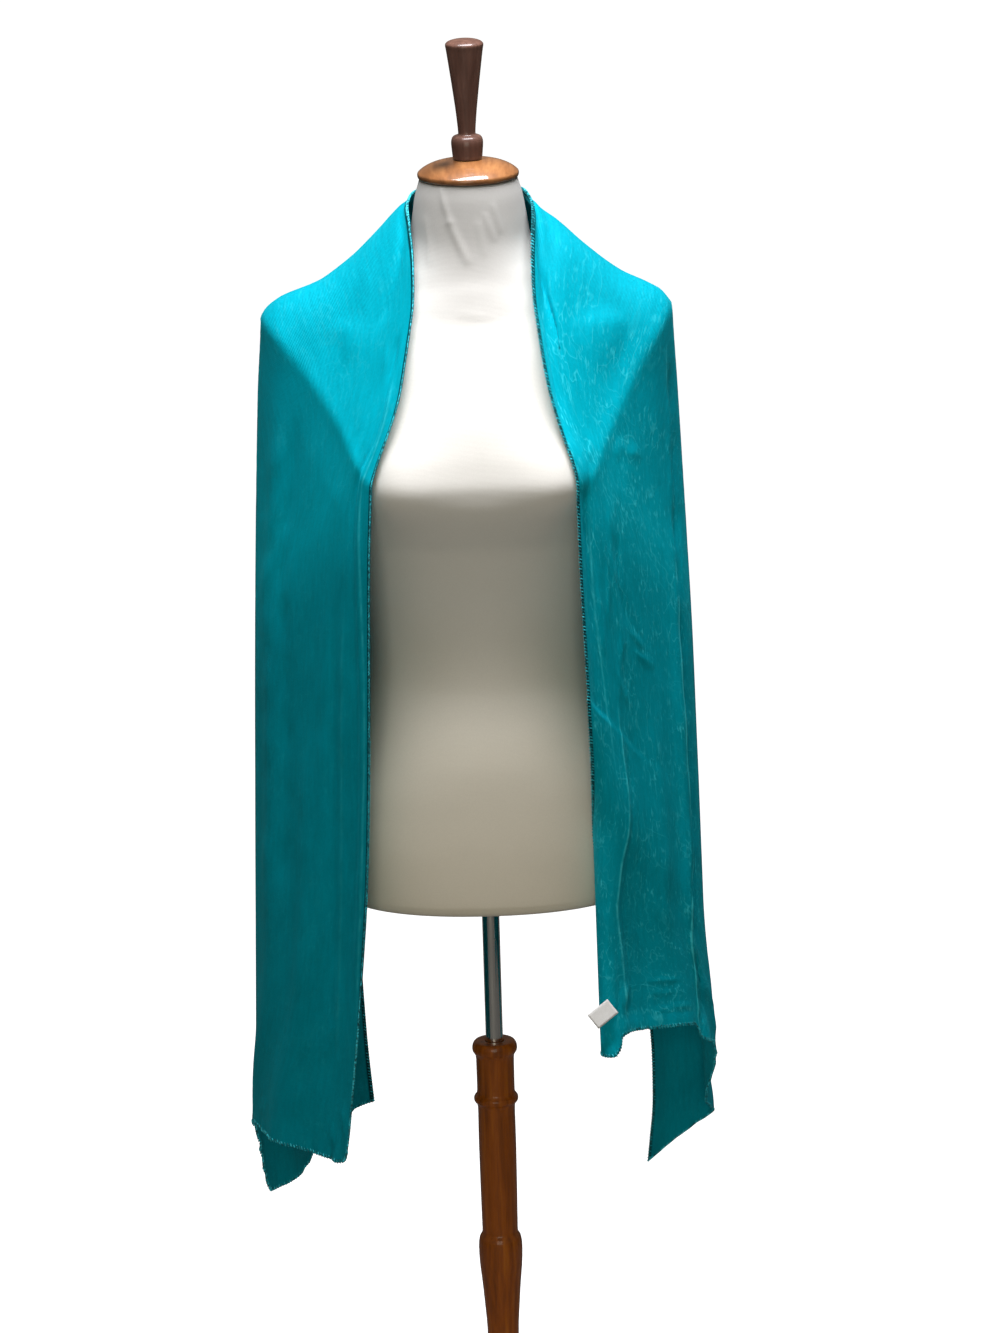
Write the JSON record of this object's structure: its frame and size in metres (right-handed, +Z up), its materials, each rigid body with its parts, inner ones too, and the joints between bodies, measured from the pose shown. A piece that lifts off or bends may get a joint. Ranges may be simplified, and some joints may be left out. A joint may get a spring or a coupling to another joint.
{
  "type": "jersey knit scarf on a dress form",
  "caption": "Wide jersey knit scarf draped over the shoulders of a limbless dress form on a turned wooden stand.",
  "frame": {"origin": "centre of the base's underside", "axes": "+Z up along the stand, +X to the right of someone who faces the form, -Y out of the form's front"},
  "size_m": [0.5009, 0.3588, 1.711],
  "materials": {
    "jersey": "fine teal jersey knit with a soft sheen and overlocked edges",
    "label_tape": "blank white woven tape",
    "form_cover": "smooth off-white jersey cover over a hard shell",
    "turned_wood": "gloss varnished, warm brown",
    "dark_wood": "gloss varnished, dark brown",
    "pole_metal": "polished tube"
  },
  "bodies": {
    "root": {"scarf_wrap": "jersey", "scarf_left_fall": "jersey", "scarf_right_fall": "jersey", "care_label": "label_tape", "form_body": "form_cover", "neck_cap": "turned_wood", "finial": "dark_wood", "pole": "pole_metal", "post": "turned_wood", "base": "turned_wood"}
  },
  "joints": []
}
